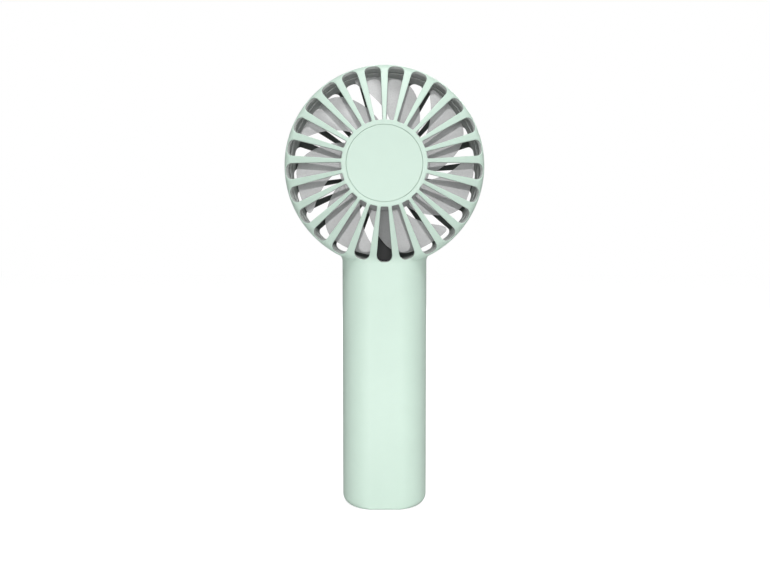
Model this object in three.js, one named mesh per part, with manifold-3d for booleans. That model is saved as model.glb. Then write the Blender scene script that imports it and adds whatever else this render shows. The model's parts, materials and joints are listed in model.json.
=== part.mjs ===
// Handheld electric fan: a round caged head on a flat-sided handle, with its motor, cell and boards.
// Millimetres, +Z up, front towards -Y. The origin is the middle of the flat base.
import * as THREE from 'three';
import { mergeVertices } from 'three/addons/utils/BufferGeometryUtils.js';
import Module from 'manifold-3d';

const wasm = await Module();
wasm.setup();

// Driving dimensions
const GAP = 0.3; // clearance kept between separate pieces
const HEAD_Z = 166.5; // fan axis above the base
const HEAD_R = 48;
const HEAD_HALF_DEPTH = 23;
const HANDLE_WIDTH = 41.5;
const HANDLE_DEPTH = 27;
const WALL = 2;

// Head shell
const HUB_R = 20; // flat middle of each grille
const SHOULDER_R = 5; // rounding between the cone of the grille and the rim band
const SHOULDER_CENTRE = { r: HEAD_R - SHOULDER_R, y: 9 };
const SHOULDER_START = THREE.MathUtils.degToRad(20); // slope of the cone where the rounding begins
const RIM_WALL = 1.4;
const HUB_WALL = 2.4;
const CAVITY_R = HEAD_R - RIM_WALL;
const CAP = { r: 17.7, thickness: 0.8 }; // disc set into the front of the hub

// Slots
const SLOTS = 25;
const SLOT_HALF_ANGLE = THREE.MathUtils.degToRad(4.9);
const FRONT_SLOT = { inner: HUB_R, outer: 47.2 };
const REAR_SLOT = { inner: 20.5, outer: 47 };
const NECK_SLOT_OUTER = { front: 45.9, rear: 43 }; // the slots above the handle stop short of it
const SLOT_DEPTH_Y = 6.5; // the cuts stop this far from the parting plane
const SLOT_CORNER = 3.1;

// Handle shell
const HANDLE_TOP = HEAD_Z - 41;
const HANDLE_CAVITY_TOP = 118;
const BASE_FILLET = 0.8;
const NECK_FILLET = 4;

// Motor, on the fan axis, from the front (-Y) to the back
const BOSS = { inner: 17.6, outer: 19, front: 8.6 };
const IMPELLER = { hubR: 21.5, front: -16.5, back: 2, wall: 1.5, ringInner: 15.7, ringOuter: 17.2 };
const BLADES = 7;
const BLADE_ROOT = 20.7;
const BLADE_TIP = 43.1;
const BLADE_SPAN = THREE.MathUtils.degToRad(41);
const BLADE_START = THREE.MathUtils.degToRad(-13.9); // front edge, clockwise from the top, at BLADE_REF_R
const BLADE_REF_R = 36;
const BLADE_SWEEP = THREE.MathUtils.degToRad(1.4); // per millimetre of radius, inwards
const BLADE_FRONT = -15; // front edge at the hub
const BLADE_FRONT_SLOPE = 0.17; // how it falls back towards the tip, under the grille
const BLADE_BACK = -1;
const BLADE_HALF_THICKNESS = 0.55;
const ROTOR_CUP = { outer: 15.4, inner: 14.5, front: -10.9, back: 8 };
const SHAFT_R = 1.5;
const TUBE = { inner: 3.8, outer: 5, front: -4, back: 20.3, flangeR: 7.5 };
const STATOR = { front: -2, back: 6.5, rootR: 7, tipR: 12.4, toothWidth: 3, teeth: 6 };
const MOTOR_BOARD = { front: 10.4, back: 11.4, inner: 5.4, outer: 17.2, postR: 15.6 };

// Handle contents
const CELL = { r: 9.2, bottom: 24, top: 89 };
const BOARD = { front: 4, back: 5.2, halfWidth: 11.4, bottom: 94, top: 117 };
const BUTTON = { z: 108, r: 5.5, flangeR: 6.8, face: 14, back: 9.9 };
const LED_Z = 97.5;
const LED_XS = [-6, -2, 2, 6];
const SOCKET = { z: 11, width: 8.9, height: 3.2, mouth: 13.2, back: 5.2 };
const SHELL_SCREWS = [[-15, 20], [15, 20], [-15, 113], [15, 113]];
const SCREW_HOLE_R = 1.3;
const SCREW_SEAT = { r: 2.3, y: 5.6 };
const BOARD_SCREW_X = 9.5;
const BOARD_SCREW_Z = 114;

// ---------- solids ----------

function toSolid(geometry) {
  const bare = geometry.clone();
  bare.deleteAttribute('normal');
  bare.deleteAttribute('uv');
  const merged = mergeVertices(bare, 1e-4);
  return new wasm.Manifold(new wasm.Mesh({
    numProp: 3,
    vertProperties: new Float32Array(merged.attributes.position.array),
    triVerts: new Uint32Array(merged.index.array),
  }));
}

function toGeometry(solid) {
  const mesh = solid.getMesh();
  const geometry = new THREE.BufferGeometry();
  geometry.setAttribute('position', new THREE.BufferAttribute(mesh.vertProperties, 3));
  geometry.setIndex(new THREE.BufferAttribute(mesh.triVerts, 1));
  return geometry;
}

const join = (first, ...rest) => rest.reduce((sum, solid) => sum.add(solid), first);
const cut = (first, ...rest) => rest.reduce((left, solid) => left.subtract(solid), first);

function outlineArea(points) {
  return points.reduce((sum, [x, y], i) => {
    const [nextX, nextY] = points[(i + 1) % points.length];
    return sum + (x * nextY - nextX * y) / 2;
  }, 0);
}

const counterClockwise = (points) => (outlineArea(points) < 0 ? [...points].reverse() : points);

// A solid of revolution about the fan axis from a closed outline of [radius, y] points.
function turned(outline, segments = 24) {
  const points = counterClockwise(outline).map(([r, y]) => new THREE.Vector2(r, y));
  points.push(points[0].clone());
  return toSolid(new THREE.LatheGeometry(points, segments)).translate([0, 0, HEAD_Z]);
}

// The same for an outline that touches the axis: open points from axis to axis, in rising y.
function turnedSolid(profile, segments = 24) {
  const points = profile.map(([r, y]) => new THREE.Vector2(r, y));
  return toSolid(new THREE.LatheGeometry(points, segments)).translate([0, 0, HEAD_Z]);
}

function shapeOf(outline, holes = []) {
  const shape = new THREE.Shape(counterClockwise(outline).map(([a, b]) => new THREE.Vector2(a, b)));
  shape.holes = holes.map((hole) => new THREE.Path(hole.map(([a, b]) => new THREE.Vector2(a, b))));
  return shape;
}

function extruded(outline, length, holes) {
  return new THREE.ExtrudeGeometry(shapeOf(outline, holes), { depth: length, bevelEnabled: false });
}

function inBasis(geometry, ax, ay, az) {
  return geometry.applyMatrix4(new THREE.Matrix4().makeBasis(ax, ay, az));
}

const X_AXIS = new THREE.Vector3(1, 0, 0);
const Y_AXIS = new THREE.Vector3(0, 1, 0);
const Z_AXIS = new THREE.Vector3(0, 0, 1);

// Prisms: the outline is [x, z] along Y, [y, z] along X and [x, y] along Z.
function prismY(outline, y0, y1, holes) {
  const geometry = inBasis(extruded(outline, y1 - y0, holes), X_AXIS, Z_AXIS, Y_AXIS.clone().negate());
  return toSolid(geometry).translate([0, y1, 0]);
}

function prismX(outline, x0, x1) {
  return toSolid(inBasis(extruded(outline, x1 - x0), Y_AXIS, Z_AXIS, X_AXIS)).translate([x0, 0, 0]);
}

function prismZ(outline, z0, z1) {
  return toSolid(extruded(outline, z1 - z0)).translate([0, 0, z0]);
}

function block([x0, x1], [y0, y1], [z0, z1]) {
  const geometry = new THREE.BoxGeometry(x1 - x0, y1 - y0, z1 - z0);
  return toSolid(geometry).translate([(x0 + x1) / 2, (y0 + y1) / 2, (z0 + z1) / 2]);
}

// A round bar along Y.
function barY(r, y0, y1, x, z, segments = 16) {
  return toSolid(new THREE.CylinderGeometry(r, r, y1 - y0, segments)).translate([x, (y0 + y1) / 2, z]);
}

function roundedRect(width, height, corner, cx, cz, steps = 3) {
  const points = [];
  for (const [sx, sz, start] of [[1, 1, 0], [-1, 1, 90], [-1, -1, 180], [1, -1, 270]]) {
    for (let i = 0; i <= steps; i += 1) {
      const a = THREE.MathUtils.degToRad(start + (90 * i) / steps);
      const x = cx + sx * (width / 2 - corner) + corner * Math.cos(a);
      const z = cz + sz * (height / 2 - corner) + corner * Math.sin(a);
      points.push([x, z]);
    }
  }
  return points;
}

// A flat-sided outline with half-round ends, as [x, y] points.
function stadium(width, depth, steps = 8) {
  const r = depth / 2;
  const flat = width / 2 - r;
  const points = [];
  for (const side of [1, -1]) {
    for (let i = 0; i <= steps; i += 1) {
      const a = Math.PI * (i / steps - 0.5) + (side < 0 ? Math.PI : 0);
      points.push([side * flat + r * Math.cos(a), r * Math.sin(a)]);
    }
  }
  return points;
}

// A closed skin over rings of points that all run counter-clockwise seen from above.
function lofted(rings) {
  const count = rings[0].length;
  const positions = rings.flat(2);
  const index = [];
  for (let level = 0; level < rings.length - 1; level += 1) {
    for (let i = 0; i < count; i += 1) {
      const a = level * count + i;
      const b = level * count + ((i + 1) % count);
      index.push(a, b, b + count, a, b + count, a + count);
    }
  }
  const top = (rings.length - 1) * count;
  for (let i = 1; i < count - 1; i += 1) {
    index.push(0, i + 1, i, top, top + i, top + i + 1);
  }
  const geometry = new THREE.BufferGeometry();
  geometry.setAttribute('position', new THREE.Float32BufferAttribute(positions, 3));
  geometry.setIndex(index);
  return toSolid(geometry);
}

// ---------- housing ----------

// Half of the head's outline, from the axis out to the rim, with y measured from the parting plane.
function headProfile(inset, hubY) {
  const round = SHOULDER_R - inset;
  const points = [[0, hubY], [HUB_R, hubY]];
  const steps = 2;
  for (let i = 0; i <= steps; i += 1) {
    const a = SHOULDER_START + ((Math.PI / 2 - SHOULDER_START) * i) / steps;
    points.push([SHOULDER_CENTRE.r + round * Math.sin(a), SHOULDER_CENTRE.y + round * Math.cos(a)]);
  }
  return points;
}

function headSolid(inset, hubY) {
  const half = headProfile(inset, hubY);
  const front = half.map(([r, y]) => [r, -y]);
  return turnedSolid([...front, ...half.reverse()], 2 * SLOTS);
}

// The handle's outside: a filleted foot, a straight run, and a flare that meets the head.
function handleSolid() {
  const ring = (offset, z) => stadium(HANDLE_WIDTH + 2 * offset, HANDLE_DEPTH + 2 * offset)
    .map(([x, y]) => [x, y, z]);
  const rings = [];
  for (let i = 0; i <= 3; i += 1) {
    const a = (Math.PI / 2) * (i / 3);
    rings.push(ring(-BASE_FILLET * (1 - Math.sin(a)), BASE_FILLET * (1 - Math.cos(a))));
  }
  const reach = HEAD_R + NECK_FILLET;
  const side = HANDLE_WIDTH / 2 + NECK_FILLET;
  const filletZ = HEAD_Z - Math.sqrt(reach ** 2 - side ** 2);
  const steps = 4;
  for (let i = 0; i <= steps; i += 1) {
    const rise = (NECK_FILLET * 0.9 * i) / steps;
    rings.push(ring(NECK_FILLET - Math.sqrt(NECK_FILLET ** 2 - rise ** 2), filletZ + rise));
  }
  rings.push(ring(0, HANDLE_TOP));
  return lofted(rings);
}

// One slot pointing down from the axis, turned about it by angle, as [x, z] points.
function slotOutline(inner, outer, angle) {
  const width = (r) => r * Math.sin(SLOT_HALF_ANGLE);
  const cornerR = outer - SLOT_CORNER;
  const half = [[width(inner), inner]];
  for (const a of [0, 45, 90]) {
    const t = THREE.MathUtils.degToRad(a);
    const edge = width(cornerR) + 0.1;
    half.push([edge - SLOT_CORNER + SLOT_CORNER * Math.cos(t), cornerR + SLOT_CORNER * Math.sin(t)]);
  }
  const points = [...half, ...half.map(([x, r]) => [-x, r]).reverse()];
  const [c, s] = [Math.cos(angle), Math.sin(angle)];
  return points.map(([x, r]) => [x * c - r * s, HEAD_Z - (x * s + r * c)]);
}

function slots({ inner, outer }, side, skipped = []) {
  const prisms = [];
  for (let i = 0; i < SLOTS; i += 1) {
    const fromNeck = Math.min(i, SLOTS - i);
    const neckOuter = side < 0 ? NECK_SLOT_OUTER.front : NECK_SLOT_OUTER.rear;
    const reach = fromNeck <= 1 ? neckOuter : outer;
    const outline = slotOutline(inner, reach, (2 * Math.PI * i) / SLOTS);
    const [y0, y1] = side < 0 ? [-2 * HEAD_HALF_DEPTH, -SLOT_DEPTH_Y] : [SLOT_DEPTH_Y, 2 * HEAD_HALF_DEPTH];
    if (!skipped.includes(i)) prisms.push(prismY(outline, y0, y1));
  }
  return prisms;
}

const SHELL_OUTSIDE = join(headSolid(0, HEAD_HALF_DEPTH), handleSolid());
const HANDLE_CAVITY = prismZ(
  stadium(HANDLE_WIDTH - 2 * WALL, HANDLE_DEPTH - 2 * WALL), WALL, HANDLE_CAVITY_TOP);
const SHELL_INSIDE = join(headSolid(RIM_WALL, HEAD_HALF_DEPTH - HUB_WALL), HANDLE_CAVITY);
const SHELL = cut(SHELL_OUTSIDE, SHELL_INSIDE);
const halfSpace = (y0, y1) => block([-60, 60], [y0, y1], [-10, HEAD_Z + HEAD_R + 10]);
const HALF_WALL_Y = HANDLE_DEPTH / 2 - WALL;

function frontHousing() {
  const shell = cut(SHELL.intersect(halfSpace(-40, -GAP / 2)), ...slots(FRONT_SLOT, -1));
  const seatBottom = -HEAD_HALF_DEPTH + CAP.thickness + GAP;
  const capSeat = barY(CAP.r + GAP, -HEAD_HALF_DEPTH - 1, seatBottom, 0, HEAD_Z, 40);
  const bosses = SHELL_SCREWS.map(([x, z]) => barY(2.8, -8.2, -GAP / 2, x, z, 10));
  const bores = SHELL_SCREWS.map(([x, z]) => barY(SCREW_HOLE_R, -7, 1, x, z, 10));
  return cut(join(shell, ...bosses), capSeat, ...bores);
}

function rearHousing() {
  const shell = cut(SHELL.intersect(halfSpace(GAP / 2, 40)), ...slots(REAR_SLOT, 1, [0]));
  const hubBack = HEAD_HALF_DEPTH - HUB_WALL / 2;
  const ring = turned([[BOSS.inner, BOSS.front], [BOSS.outer, BOSS.front],
    [BOSS.outer, hubBack - 0.6], [BOSS.inner, hubBack]], 2 * SLOTS);
  const posts = [0, 120, 240].map((degrees) => {
    const a = THREE.MathUtils.degToRad(degrees);
    const [x, z] = [MOTOR_BOARD.postR * Math.sin(a), HEAD_Z + MOTOR_BOARD.postR * Math.cos(a)];
    return barY(1.2, MOTOR_BOARD.back + GAP, hubBack, x, z, 10);
  });
  const screwBosses = SHELL_SCREWS.map(([x, z]) => barY(3.2, GAP / 2, 7.8, x, z, 10));
  const boardBosses = [-1, 1].map((side) => (
    barY(1.8, BOARD.back + GAP, HALF_WALL_Y + WALL / 2, side * BOARD_SCREW_X, BOARD_SCREW_Z, 10)));
  const leadNotch = block([-2.4, 2.4], [11, hubBack - 1], [HEAD_Z - BOSS.outer - 1, HEAD_Z - BOSS.inner + 2]);
  const leadHole = block([-2.2, 2.2], [8.8, 11.5], [HANDLE_CAVITY_TOP - 1, HEAD_Z - CAVITY_R + 2]);
  const screwHoles = SHELL_SCREWS.flatMap(([x, z]) => [
    barY(SCREW_HOLE_R, -1, 20, x, z, 10),
    barY(SCREW_SEAT.r, SCREW_SEAT.y, 20, x, z, 14),
  ]);
  const boardBores = [-1, 1].map((side) => (
    barY(1, BOARD.back, HALF_WALL_Y - 1, side * BOARD_SCREW_X, BOARD_SCREW_Z, 10)));
  const buttonHole = barY(BUTTON.r + GAP, 10, 20, 0, BUTTON.z, 28);
  const lightHoles = LED_XS.map((x) => barY(0.9 + GAP, 10, 20, x, LED_Z, 10));
  const mouth = roundedRect(SOCKET.width + 2 * GAP, SOCKET.height + 2 * GAP, 1.7, 0, SOCKET.z);
  const filled = join(shell, ring, ...posts, ...screwBosses, ...boardBosses);
  return cut(filled, leadNotch, leadHole, ...screwHoles, ...boardBores, buttonHole, ...lightHoles,
    prismY(mouth, 10, 20));
}

const hubCap = () => barY(CAP.r, -HEAD_HALF_DEPTH, -HEAD_HALF_DEPTH + CAP.thickness, 0, HEAD_Z, 40);

// A strip with two short legs that closes the lead channel between the neck and the motor boss.
function leadCover() {
  const [low, high] = [HEAD_Z - 45.6, HEAD_Z - BOSS.outer - GAP];
  const strip = (inset, y0, y1) => prismY([[-5 + inset, low - inset], [5 - inset, low - inset],
    [3.6 - inset, high + inset], [-3.6 + inset, high + inset]], y0, y1);
  return cut(strip(0, 7.4, 9.9), strip(0.9, 8.3, 12));
}

// ---------- impeller and motor ----------

// Seven thin swept blades; each runs clockwise from its front edge to its back edge.
function blade(number) {
  const stations = [
    { r: BLADE_ROOT, inset: 0 }, { r: 27, inset: 0 }, { r: 33, inset: 0 }, { r: BLADE_TIP - 3.7, inset: 0 },
    { r: BLADE_TIP - 1, inset: 2.2 }, { r: BLADE_TIP, inset: 6.5 },
  ];
  const across = 4;
  const point = (r, inset, t, offset) => {
    const trim = THREE.MathUtils.degToRad(inset);
    const from = BLADE_START + BLADE_SWEEP * (BLADE_REF_R - r) + trim;
    const angle = from + (BLADE_SPAN - 2 * trim) * t + (2 * Math.PI * number) / BLADES;
    const share = t + (1 - 2 * t) * (trim / BLADE_SPAN);
    const frontY = BLADE_FRONT + BLADE_FRONT_SLOPE * (r - BLADE_ROOT);
    const y = frontY + (BLADE_BACK - frontY) * share + offset;
    return [r * Math.sin(angle), y, HEAD_Z + r * Math.cos(angle)];
  };
  const rings = stations.map(({ r, inset }) => {
    const front = [];
    const back = [];
    for (let i = 0; i <= across; i += 1) {
      front.push(point(r, inset, i / across, -BLADE_HALF_THICKNESS));
      back.push(point(r, inset, 1 - i / across, BLADE_HALF_THICKNESS));
    }
    return [...front, ...back];
  });
  return lofted(rings);
}

function impeller() {
  const { hubR, front, back, wall, ringInner, ringOuter } = IMPELLER;
  const hub = turnedSolid([[0, front], [hubR - 3, front], [hubR - 0.8, front + 0.8], [hubR, front + 2.6],
    [hubR, back], [hubR - wall, back], [hubR - wall, front + 2.8], [ringOuter, front + wall],
    [ringOuter, back], [ringInner, back], [ringInner, front + wall], [0, front + wall]]);
  const blades = [];
  for (let i = 0; i < BLADES; i += 1) blades.push(blade(i));
  return join(hub, ...blades);
}

function rotorCup() {
  const { outer, inner, front, back } = ROTOR_CUP;
  const bore = SHAFT_R + GAP;
  return turned([[bore, front], [outer - 1, front], [outer, front + 1], [outer, back], [inner, back],
    [inner, front + 1.2], [3.4, front + 1.2], [3.4, front + 4], [bore, front + 4]]);
}

const magnetRing = () => turned([[13.2, -3], [14.2, -3], [14.2, 7.6], [13.2, 7.6]]);
const shaft = () => turnedSolid([[0, -10.6], [SHAFT_R, -10.6], [SHAFT_R, 18.6], [0, 18.6]], 16);
const shaftClip = () => turned([[SHAFT_R + GAP, 17.1], [3.2, 17.1], [3.2, 17.7], [SHAFT_R + GAP, 17.7]], 16);

function bearing(y0) {
  const [inner, outer, length] = [SHAFT_R + GAP, TUBE.inner - GAP, 2.6];
  return turned([[inner, y0], [outer, y0], [outer, y0 + length], [inner, y0 + length]], 16);
}

function bearingTube() {
  return turned([[TUBE.inner, TUBE.front], [TUBE.outer, TUBE.front], [TUBE.outer, TUBE.back - 1.1],
    [TUBE.flangeR, TUBE.back - 1.1], [TUBE.flangeR, TUBE.back], [TUBE.inner, TUBE.back]], 20);
}

// Laminated core: a round root with T-shaped teeth.
function statorCore() {
  const at = (r, a) => [r * Math.sin(a), HEAD_Z + r * Math.cos(a)];
  const outline = [];
  const pitch = (2 * Math.PI) / STATOR.teeth;
  const shoe = pitch * 0.42;
  const shoeR = STATOR.tipR - 1.3;
  const toothEdge = (r) => Math.asin(STATOR.toothWidth / 2 / r);
  for (let i = 0; i < STATOR.teeth; i += 1) {
    const middle = i * pitch;
    outline.push(at(STATOR.rootR, middle - toothEdge(STATOR.rootR)), at(shoeR, middle - toothEdge(shoeR)));
    for (const t of [-1, -0.5, 0, 0.5, 1]) outline.push(at(STATOR.tipR, middle + t * shoe));
    outline.push(at(shoeR, middle + toothEdge(shoeR)), at(STATOR.rootR, middle + toothEdge(STATOR.rootR)));
  }
  const bore = barY(TUBE.outer + GAP, -10, 20, 0, HEAD_Z, 20);
  return cut(prismY(outline, STATOR.front, STATOR.back), bore);
}

// A winding bobbin round one tooth: a frame whose opening clears the tooth.
function coil(number) {
  const middle = (STATOR.front + STATOR.back) / 2;
  const [half, window] = [2.9, STATOR.toothWidth / 2 + GAP];
  const reach = (STATOR.back - STATOR.front) / 2 + GAP;
  const body = block([-half, half], [middle - reach - 1.4, middle + reach + 1.4], [7.5, 10.7]);
  const opening = block([-window, window], [middle - reach, middle + reach], [6, 12]);
  const angle = (360 / STATOR.teeth) * number;
  return cut(body, opening).rotate([0, angle, 0]).translate([0, 0, HEAD_Z]);
}

function motorBoard() {
  const { inner, outer, front, back } = MOTOR_BOARD;
  return turned([[inner, front], [outer, front], [outer, back], [inner, back]]);
}

// Flat three-way lead from the main board, through the neck and up the channel to the motor board.
function motorLead() {
  const inNeck = [[6.2, 112.6], [8.2, 116], [10, 117.5], [10.1, HEAD_Z - 45]];
  const centre = [...inNeck, [13.6, HEAD_Z - 34], [13.9, HEAD_Z - 21], [12.4, HEAD_Z - 16]];
  const half = 0.4;
  const offset = (i, side) => {
    const [ya, za] = centre[Math.max(i - 1, 0)];
    const [yb, zb] = centre[Math.min(i + 1, centre.length - 1)];
    const length = Math.hypot(yb - ya, zb - za);
    const [y, z] = centre[i];
    return [y + (side * half * (zb - za)) / length, z - (side * half * (yb - ya)) / length];
  };
  const right = centre.map((_, i) => offset(i, 1));
  const left = centre.map((_, i) => offset(i, -1)).reverse();
  return prismX([...right, ...left], -1.5, 1.5);
}

// ---------- handle contents ----------

function cell() {
  const profile = [[0, CELL.bottom], [CELL.r, CELL.bottom], [CELL.r, CELL.top - 0.8], [3.2, CELL.top - 0.8],
    [3.2, CELL.top], [0, CELL.top]];
  const points = profile.map(([r, z]) => new THREE.Vector2(r, z));
  return toSolid(new THREE.LatheGeometry(points, 28).rotateX(Math.PI / 2));
}

// A wire of six sides along a smooth path.
function wire(points, r) {
  const path = new THREE.CatmullRomCurve3(points.map(([x, y, z]) => new THREE.Vector3(x, y, z)));
  const ring = [];
  for (let i = 0; i < 6; i += 1) {
    const a = (i * Math.PI) / 3;
    ring.push([r * Math.cos(a), r * Math.sin(a)]);
  }
  return toSolid(new THREE.ExtrudeGeometry(shapeOf(ring), { steps: 10, extrudePath: path }));
}

function mainBoard() {
  const { front, back, halfWidth, bottom, top } = BOARD;
  const holes = [-1, 1].map((side) => barY(1, front - 1, back + 1, side * BOARD_SCREW_X, BOARD_SCREW_Z, 10));
  return cut(block([-halfWidth, halfWidth], [front, back], [bottom, top]), ...holes);
}

function powerButton() {
  const cap = barY(BUTTON.r, BUTTON.back, BUTTON.face, 0, BUTTON.z, 28);
  const flange = barY(BUTTON.flangeR, BUTTON.back, BUTTON.back + 1, 0, BUTTON.z, 28);
  return join(cap, flange);
}

function tactSwitch() {
  const base = BOARD.back + GAP;
  return join(block([-3, 3], [base, base + 3], [BUTTON.z - 3, BUTTON.z + 3]),
    barY(1.6, base + 2, 9.3, 0, BUTTON.z, 12));
}

function lightPipe() {
  const bar = block([-7.6, 7.6], [7, HALF_WALL_Y - GAP], [LED_Z - 1.3, LED_Z + 1.3]);
  return join(bar, ...LED_XS.map((x) => barY(0.9, 8, HANDLE_DEPTH / 2, x, LED_Z, 10)));
}

const ledChip = (x) => block([x - 0.8, x + 0.8], [BOARD.back + GAP, 6.3], [LED_Z - 0.6, LED_Z + 0.6]);

// Charging socket: a metal can open at the back, with its contact tongue.
function chargingSocket() {
  const { z, width, height, mouth, back } = SOCKET;
  const can = prismY(roundedRect(width, height, 1.5, 0, z), back, mouth);
  const opening = prismY(roundedRect(width - 0.7, height - 0.7, 1.2, 0, z), back + 1.2, mouth + 1);
  const tongue = block([-3.3, 3.3], [back + 1, mouth - 1], [z - 0.35, z + 0.35]);
  return join(cut(can, opening), tongue);
}

// A pan-head screw along -Y, its head towards the back.
function screw(x, z, headBack, headR, shankR, length) {
  const seat = headBack - headR * 0.9;
  const profile = [[0, seat - length], [shankR, seat - length], [shankR, seat], [headR, seat],
    [headR, headBack - 0.4], [headR - 0.4, headBack], [0, headBack]];
  const points = profile.map(([r, y]) => new THREE.Vector2(r, y));
  const shank = toSolid(new THREE.LatheGeometry(points, 12));
  const cross = [[0.25, headR * 0.6], [headR * 0.6, 0.25]]
    .map(([hx, hz]) => block([-hx, hx], [headBack - 0.6, headBack + 1], [-hz, hz]));
  return cut(shank, ...cross).translate([x, 0, z]);
}

const boardScrew = (side) => screw(0, 0, 0, 1.7, 0.7, 4.6)
  .rotate([0, 0, 180])
  .translate([side * BOARD_SCREW_X, BOARD.front - GAP - 1.53, BOARD_SCREW_Z]);

// ---------- assembly ----------

const finish = (color, roughness, metalness = 0) => (
  new THREE.MeshStandardMaterial({ color, roughness, metalness }));
const shellPlastic = finish(0xd6efe0, 0.45);
const smokePlastic = finish(0x9a9c9c, 0.3);
const steel = finish(0xb8bbbd, 0.3, 1);
const copper = finish(0xb0653a, 0.35, 1);
const brass = finish(0xb99a55, 0.35, 1);
const darkSteel = finish(0x4a4c4e, 0.5, 1);
const ferrite = finish(0x3a3a3c, 0.7);
const board = finish(0x1f5a3c, 0.5);
const blackPlastic = finish(0x1c1d1e, 0.5);
const whitePlastic = finish(0xf2f3f1, 0.35);
const wrap = finish(0x3f7fb0, 0.4);
const redWire = finish(0xb02a22, 0.5);

const group = new THREE.Group();

function add(name, solid, material) {
  const mesh = new THREE.Mesh(toGeometry(solid), material);
  mesh.name = name;
  group.add(mesh);
}

add('front_housing', frontHousing(), shellPlastic);
add('rear_housing', rearHousing(), shellPlastic);
add('hub_cap', hubCap(), shellPlastic);
add('lead_cover', leadCover(), blackPlastic);

add('impeller', impeller(), smokePlastic);
add('rotor_cup', rotorCup(), steel);
add('magnet_ring', magnetRing(), ferrite);
add('motor_shaft', shaft(), steel);
add('shaft_clip', shaftClip(), steel);

add('bearing_tube', bearingTube(), brass);
add('front_bearing', bearing(-3.6), steel);
add('rear_bearing', bearing(14), steel);
add('stator_core', statorCore(), darkSteel);
for (let i = 0; i < STATOR.teeth; i += 1) add(`stator_coil_${i + 1}`, coil(i), copper);
add('motor_board', motorBoard(), board);
add('motor_lead', motorLead(), blackPlastic);

add('battery_cell', cell(), wrap);
add('battery_tab_top', block([-3, 3], [-2.5, 2.5], [CELL.top + GAP, CELL.top + 0.6]), steel);
add('battery_tab_bottom', block([-4, 4], [-2.5, 2.5], [CELL.bottom - 0.6, CELL.bottom - GAP]), steel);
add('battery_lead_red', wire([[-1.5, 0, 90.6], [-2.5, 0.4, 94], [-5, 1.4, 98], [-7, 2.6, 101]], 0.6), redWire);
add('battery_lead_black', wire([[-5, 0, 22.3], [-9.5, 3, 21.6], [-13.2, 4.5, 26], [-13.4, 4.6, 60],
  [-12.6, 4, 87], [-10, 2.8, 93], [-9.4, 2.6, 100]], 0.6), blackPlastic);
add('main_board', mainBoard(), board);
add('control_chip', block([-2.5, 2.5], [2.7, BOARD.front - GAP], [105, 110]), blackPlastic);
add('tact_switch', tactSwitch(), blackPlastic);
add('power_button', powerButton(), shellPlastic);
add('light_pipe', lightPipe(), whitePlastic);
LED_XS.forEach((x, i) => add(`led_${i + 1}`, ledChip(x), whitePlastic));
add('charge_board',
  block([-7, 7], [-1, HALF_WALL_Y - GAP], [7.8, SOCKET.z - SOCKET.height / 2 - GAP]), board);
add('charge_chip', block([-2, 2], [0, 4], [9.4, 10.4]), blackPlastic);
add('charging_socket', chargingSocket(), steel);
SHELL_SCREWS.forEach(([x, z], i) => {
  add(`shell_screw_${i + 1}`, screw(x, z, SCREW_SEAT.y + GAP + 1.8, 1.9, 1, 11), steel);
});
[-1, 1].forEach((side, i) => add(`board_screw_${i + 1}`, boardScrew(side), steel));

export default group;
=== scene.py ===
"""Handheld electric fan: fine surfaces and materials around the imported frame.

Shapes are worked out in millimetres and turned into metres when a mesh is made. The front faces -Y.
"""
import json
import math

import bmesh
import bpy
import numpy as np
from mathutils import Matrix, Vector


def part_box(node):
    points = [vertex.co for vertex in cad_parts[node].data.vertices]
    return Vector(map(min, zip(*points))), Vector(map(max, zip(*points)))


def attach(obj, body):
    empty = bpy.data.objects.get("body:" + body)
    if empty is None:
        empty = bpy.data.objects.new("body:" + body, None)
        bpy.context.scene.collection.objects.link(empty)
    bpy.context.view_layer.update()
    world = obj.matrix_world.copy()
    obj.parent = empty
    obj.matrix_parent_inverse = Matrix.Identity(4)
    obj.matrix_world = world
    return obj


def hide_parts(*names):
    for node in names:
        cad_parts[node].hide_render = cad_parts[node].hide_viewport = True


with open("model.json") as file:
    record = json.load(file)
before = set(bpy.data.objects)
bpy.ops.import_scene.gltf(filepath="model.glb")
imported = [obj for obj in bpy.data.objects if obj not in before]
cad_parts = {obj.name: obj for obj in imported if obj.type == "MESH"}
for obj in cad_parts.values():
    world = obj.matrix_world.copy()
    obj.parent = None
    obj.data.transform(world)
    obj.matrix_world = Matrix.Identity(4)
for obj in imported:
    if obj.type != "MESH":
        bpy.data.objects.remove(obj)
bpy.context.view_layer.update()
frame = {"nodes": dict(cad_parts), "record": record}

MM = 0.001


def joint(name):
    """A joint's record, by its name."""
    return next(j for j in frame["record"]["behaviour"]["joints"] if j["name"] == name)


def box_mm(node):
    """The low and high corners of a CAD node's box, in millimetres."""
    low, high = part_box(node)
    return [v / MM for v in low], [v / MM for v in high]


def middle_of(node):
    """The middle of a CAD node's box, in x and z."""
    low, high = box_mm(node)
    return (low[0] + high[0]) / 2, (low[2] + high[2]) / 2


# ---------- the housing's dimensions, in millimetres, with the overall sizes from the frame ----------

AXIS_Z = joint("impeller_spin")["pos_m"][2] / MM
HEAD_R = box_mm("front_housing")[1][0]
TOP = AXIS_Z + HEAD_R
HALF_DEPTH = box_mm("rear_housing")[1][1]
HANDLE_FRONT = 13.5
HANDLE_HALF_WIDTH = 20.75
HANDLE_FLAT = HANDLE_HALF_WIDTH - HANDLE_FRONT
WALL = 2.0
BASE_FILLET = 0.8
FOOT_SIDE = 4.5
HANDLE_CAVITY_TOP = 118.0

HUB_R = 20.0
HUB_EASE = 1.6
SHOULDER_R = 5.0
SHOULDER_SLOPE = math.radians(20)
SHOULDER_Y = 9.0
BULGE = 0.35
RIM_WALL = 1.4
HUB_WALL = 2.4

COAT_DEPTH = 0.22
SEAM_HALF_GAP = 0.1
SEAM_ROW = 0.38
SEAM_CHAMFER = 0.13

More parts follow.
